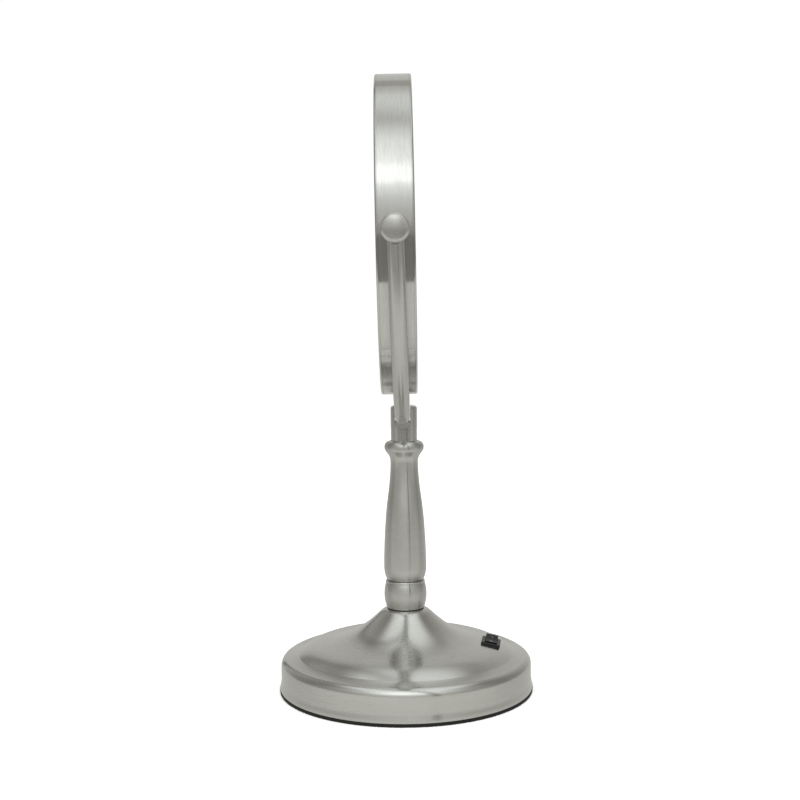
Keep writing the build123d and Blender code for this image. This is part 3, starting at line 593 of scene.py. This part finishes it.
def yoke_skin(centre):
    """The bent tube, with a flat inside and out at each pivot."""
    up = Vector((-sin(YOKE_LEAN), 0, cos(YOKE_LEAN)))
    across = Vector((cos(YOKE_LEAN), 0, sin(YOKE_LEAN)))
    overhang = degrees(YOKE_OVERHANG / YOKE_RADIUS)
    bend = YOKE_END + FINE_STRETCH
    near_end = np.linspace(YOKE_END - overhang, bend, FINE_STATIONS, endpoint=False)
    rest = np.linspace(bend, 2 * YOKE_BOTTOM - bend, BEND_STATIONS, endpoint=False)
    stations = [*near_end, *rest, *(2 * YOKE_BOTTOM - near_end[::-1])]
    sides = TUBE_SIDES
    places = []
    for station in stations:
        turn = radians(station)
        for k in range(sides):
            round_tube = 2 * pi * k / sides
            reach = YOKE_RADIUS + YOKE_TUBE * cos(round_tube)
            local = Vector((0, reach * cos(turn), 0)) + up * (reach * sin(turn))
            local += across * (YOKE_TUBE * sin(round_tube))
            if (beyond := max(0, hypot(local.x, local.z) - SPOT_FACE_RADIUS)) < SPOT_FACE_RUN:
                limits = (ARM_FACES[0] - beyond, ARM_FACES[1] + beyond)
                local.y = copysign(min(max(abs(local.y), limits[0]), limits[1]), local.y)
            places.append(centre + local * MM)
    faces, maps = [], []
    for s in range(len(stations) - 1):
        low, high = [radians(stations[s + i]) * YOKE_RADIUS * MM for i in (0, 1)]
        for k in range(sides):
            after = (k + 1) % sides
            faces.append([s * sides + k, s * sides + after, (s + 1) * sides + after, (s + 1) * sides + k])
            left, right = k / sides, (k + 1) / sides
            maps.append([(left, low), (right, low), (right, high), (left, high)])
    for first in (0, len(places) - sides):
        faces.append([first + k for k in range(sides)])
        maps.append([(k / sides, 0) for k in range(sides)])
    cover_node("yoke", places, faces, maps)


def socket_skin():
    """The socket's own mesh, with the grain mapped round it."""
    source = nodes["yoke_socket"].data
    places = [vertex.co.copy() for vertex in source.vertices]
    faces = [list(face.vertices) for face in source.polygons]
    maps = []
    for face in faces:
        start = atan2(places[face[0]].y, places[face[0]].x) / (2 * pi)
        corners = []
        for index in face:
            turn = atan2(places[index].y, places[index].x) / (2 * pi)
            corners.append((turn - round(turn - start), places[index].z))
        maps.append(corners)
    cover_node("yoke_socket", places, faces, maps)


head_axis = axis_at(head_middle, HEAD_AXIS)
spin("base_cover", cover_outline())
spin("column_ball", ball_outline())
spin("column_body", column_outline())
spin("head_band", band_outline(), head_axis, HEAD_STEPS)
spin("rim_flat", rim_outline(1), head_axis, HEAD_STEPS)
spin("rim_magnifying", rim_outline(-1), head_axis, HEAD_STEPS)
spin("mirror_magnifying", bowl_outline(), head_axis)
spin("knob_near", knob_outline(), axis_at(head_middle, (0, -1, 0)))
spin("knob_far", knob_outline(), axis_at(head_middle, (0, 1, 0)))
yoke_skin(head_middle)
socket_skin()

# ---------------------------------------------------------------- marks on the rocker
ROCKER_REST = radians(10)
MARK_HEIGHT = 2.38
MARK_RISE = 0.3
MARK_PLACE = 3.1
MARK_GREY = 0.40
RING_RADII = (0.5, 0.8)
RING_STEPS = 48
BAR_HALF_LENGTH = 0.5
BAR_HALF_WIDTH = 0.15
BAR_END_STEPS = 16


def ring_mark(inner, outer, steps):
    """A raised ring."""
    outline = [(inner, 0), (outer, 0), (outer, MARK_RISE), (inner, MARK_RISE)]
    turns = [2 * pi * i / steps for i in range(steps)]
    places = [(r * cos(turn), r * sin(turn), h) for r, h in outline for turn in turns]
    faces = []
    for k in range(len(outline)):
        low, high = k * steps, (k + 1) % len(outline) * steps
        for i in range(steps):
            after = (i + 1) % steps
            faces.append([low + i, low + after, high + after, high + i])
    return places, faces


def bar_mark(half_length, half_width, steps):
    """A raised bar with round ends."""
    end = [(-half_width * cos(pi * i / steps), half_width * sin(pi * i / steps)) for i in range(steps + 1)]
    loop = [(x, y + half_length) for x, y in end] + [(-x, -y - half_length) for x, y in end]
    count = len(loop)
    places = [(x, y, h) for h in (0, MARK_RISE) for x, y in loop]
    faces = [[i, (i + 1) % count, count + (i + 1) % count, count + i] for i in range(count)]
    return places, faces + [list(range(count)), list(range(count, 2 * count))]


def add_marks():
    """The on bar and the off ring, raised on the rocker's two halves."""
    press = joints["switch_press"]
    pin = Vector(press["axis"])
    along = Vector((-pin.y, pin.x, 0)).normalized()
    out = pin.cross(along)
    ahead = along * cos(ROCKER_REST) + out * sin(ROCKER_REST)
    rise = out * cos(ROCKER_REST) - along * sin(ROCKER_REST)
    turn = Matrix((ahead, pin, rise)).transposed().to_4x4()
    paint = moulded_plastic("mark_paint", grey(MARK_GREY), 0.5, 0.1)
    for name, place, (places, faces) in (
        ("mark_on", MARK_PLACE, bar_mark(BAR_HALF_LENGTH, BAR_HALF_WIDTH, BAR_END_STEPS)),
        ("mark_off", -MARK_PLACE, ring_mark(*RING_RADII, RING_STEPS)),
    ):
        mesh = bpy.data.meshes.new(name)
        raised = [Vector((x + place, y, z + MARK_HEIGHT)) * MM for x, y, z in places]
        mesh.from_pydata([turn @ corner for corner in raised], [], faces)
        mesh.transform(Matrix.Translation(press["pos_m"]))
        mesh.shade_smooth()
        mesh.set_sharp_from_angle(angle=SHARP_ANGLE)
        mesh.materials.append(paint)
        mark = bpy.data.objects.new(name, mesh)
        bpy.context.scene.collection.objects.link(mark)
        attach(mark, "rocker")


add_marks()

# ---------------------------------------------------------------- floor and light
FLOOR_FRONT = -0.47
FLOOR_BACK = 1.6
FLOOR_HALF_WIDTH = 1.3
# Painted light on the floor, seen only in reflections and as light: where its glow starts and stops changing
# towards the back, and from what to what.
FLOOR_PAINTED_GLOW = (-0.15, 0.0, 0.75, 0.56)
FLOOR_TINT = (1.01, 1.0, 0.95, 1)
# Whiter than white, so that the table top stays plain in the picture.
FLOOR_WHITE = 2.0


def make_floor():
    """A plain white table top that ends in front of the camera. In reflections and as light it glows, brighter
    towards the front, as painted light of the front lights falling on it.
    """
    mesh = bpy.data.meshes.new("floor")
    corners = [(x, y, 0) for x in (-FLOOR_HALF_WIDTH, FLOOR_HALF_WIDTH) for y in (FLOOR_FRONT, FLOOR_BACK)]
    mesh.from_pydata([corners[0], corners[2], corners[3], corners[1]], [], [(0, 1, 2, 3)])
    floor = bpy.data.objects.new("floor", mesh)
    bpy.context.scene.collection.objects.link(floor)
    material, graph, shader = new_material("floor_white_painted_glow")
    shader.inputs["Base Color"].default_value = (*grey(FLOOR_WHITE), 1)
    shader.inputs["Roughness"].default_value = 1.0
    shader.inputs["Specular IOR Level"].default_value = 0.0
    split = graph.node("ShaderNodeSeparateXYZ")
    graph.put(graph.place(), split.inputs[0])
    lit = graph.map_range(split.outputs["Y"], *FLOOR_PAINTED_GLOW)
    # Painted light: every ray but the camera's sees the floor glow, brighter in front.
    glow = graph.node("ShaderNodeEmission", {"Color": FLOOR_TINT, "Strength": lit})
    seen = graph.node("ShaderNodeLightPath").outputs["Is Camera Ray"]
    choice = graph.node("ShaderNodeMixShader")
    for socket, value in zip(choice.inputs, (seen, glow.outputs[0], shader.outputs[0])):
        graph.put(value, socket)
    output = next(node for node in material.node_tree.nodes if node.type == "OUTPUT_MATERIAL")
    graph.put(choice.outputs[0], output.inputs["Surface"])
    mesh.materials.append(material)


# The studio's brightness straight ahead of the object, by elevation in degrees: a dim wall, a bright
# window and the ceiling above it.
AHEAD = (
    (0, 0.45), (15, 0.70), (24, 0.93), (32, 1.35), (37, 2.00), (46, 2.00), (50, 1.65), (60, 1.45),
    (75, 1.20), (90, 1.00),
)
# The ceiling's, in degrees over the arc from the front horizon, overhead, to the back.
CEILING = ((50, 1.70), (60, 1.45), (75, 1.20), (85, 1.05), (110, 0.93), (127, 0.70))
# The walls', by azimuth from straight ahead, and how far they share the brightness ahead.
WALLS = ((0, 0.60), (20, 0.57), (60, 0.39), (100, 0.25), (120, 0.30), (160, 0.56), (180, 0.62))
SHARING = ((0, 1.0), (12, 0.90), (40, 0.34), (60, 0.15), (90, 0.0))
# A dark beam high on the back wall: its lower and upper edge, its shade and its soft sides.
BEAM = (41.5, 52.5, 0.72)
BEAM_BLUR = 0.5
BEAM_SIDES = (130, 160)
WALL_TOP = 50
CEILING_EDGE = 68
BELOW_HORIZON = 0.24
HORIZON_BLUR = 2.5
RANGE = 4.0
# The tint goes from the shade's to the ceiling's between these brightnesses.
TINTING = (0.3, 1.0)
CEILING_TINT = (0.975, 1.0, 1.0)
SHADE_TINT = (1.03, 1.0, 0.94)
# The dark gap between two lights stands upright, right of the camera.
GAP_NORMAL = (-0.869, -0.443, -0.056)
GAP = (0.02, 0.09, 0.30, 1.0)
BACKDROP_WHITE = 1.02


def scale_of(graph, value, stops, full):
    """Look a value up in stops of (place, brightness), where full is the largest place."""
    scaled = [(place / full, grey(brightness / RANGE)) for place, brightness in stops]
    return graph.math("MULTIPLY", graph.ramp(graph.math("DIVIDE", value, full), scaled), RANGE)


def make_studio():
    """A soft surround that the camera sees as plain white."""
    world = bpy.data.worlds.new("studio")
    bpy.context.scene.world = world
    world.use_nodes = True
    graph = Graph(world.node_tree)
    background = next(node for node in world.node_tree.nodes if node.type == "BACKGROUND")
    way = graph.node("ShaderNodeTexCoord").outputs["Generated"]
    split = graph.node("ShaderNodeSeparateXYZ")
    graph.put(way, split.inputs[0])
    x, y, z = split.outputs
    front = graph.math("MULTIPLY", y, -1)
    azimuth = graph.math("DEGREES", graph.math("ABSOLUTE", graph.math("ARCTAN2", x, front)))
    elevation = graph.math("DEGREES", graph.math("ARCSINE", z))
    over = graph.math("DEGREES", graph.math("ARCTAN2", graph.math("MAXIMUM", z, 0), front))
    ahead = scale_of(graph, elevation, AHEAD, 90)
    walls = scale_of(graph, azimuth, WALLS, 180)
    share = scale_of(graph, azimuth, SHARING, 180)
    above_walls = graph.math("SUBTRACT", ahead, WALLS[0][1])
    low = graph.math("ADD", walls, graph.math("MULTIPLY", share, above_walls))
    start, stop, shade = BEAM
    above = graph.map_range(elevation, start - BEAM_BLUR, start, 0, 1)
    below = graph.map_range(elevation, stop, stop + BEAM_BLUR, 1, 0)
    beam = graph.math("MULTIPLY", above, below)
    beam = graph.math("MULTIPLY", beam, graph.map_range(azimuth, *BEAM_SIDES, 0, 1))
    low = graph.math("MULTIPLY", low, graph.map_range(beam, 0, 1, 1, shade))
    high = scale_of(graph, over, CEILING, 180)
    rise = graph.map_range(elevation, WALL_TOP, CEILING_EDGE, 0, 1)
    lit = graph.math("ADD", low, graph.math("MULTIPLY", rise, graph.math("SUBTRACT", high, low)))
    gap = graph.node("ShaderNodeVectorMath", operation="DOT_PRODUCT")
    graph.put(way, gap.inputs[0])
    gap.inputs[1].default_value = GAP_NORMAL
    dimmed = graph.map_range(graph.math("ABSOLUTE", gap.outputs["Value"]), *GAP)
    level = graph.map_range(elevation, -HORIZON_BLUR, 0.0, 0, 1)
    raised = graph.math("MULTIPLY", level, graph.math("SUBTRACT", lit, BELOW_HORIZON))
    whole = graph.math("MULTIPLY", graph.math("ADD", BELOW_HORIZON, raised), dimmed)
    tint = graph.mix(graph.map_range(whole, *TINTING, 0, 1), SHADE_TINT, CEILING_TINT)
    seen = graph.node("ShaderNodeLightPath").outputs["Is Camera Ray"]
    graph.put(graph.mix(seen, tint, grey(BACKDROP_WHITE)), background.inputs["Color"])
    graph.put(graph.mix(seen, whole, grey(1.0)), background.inputs["Strength"])


make_floor()
make_studio()
bpy.context.scene.view_settings.view_transform = "Standard"
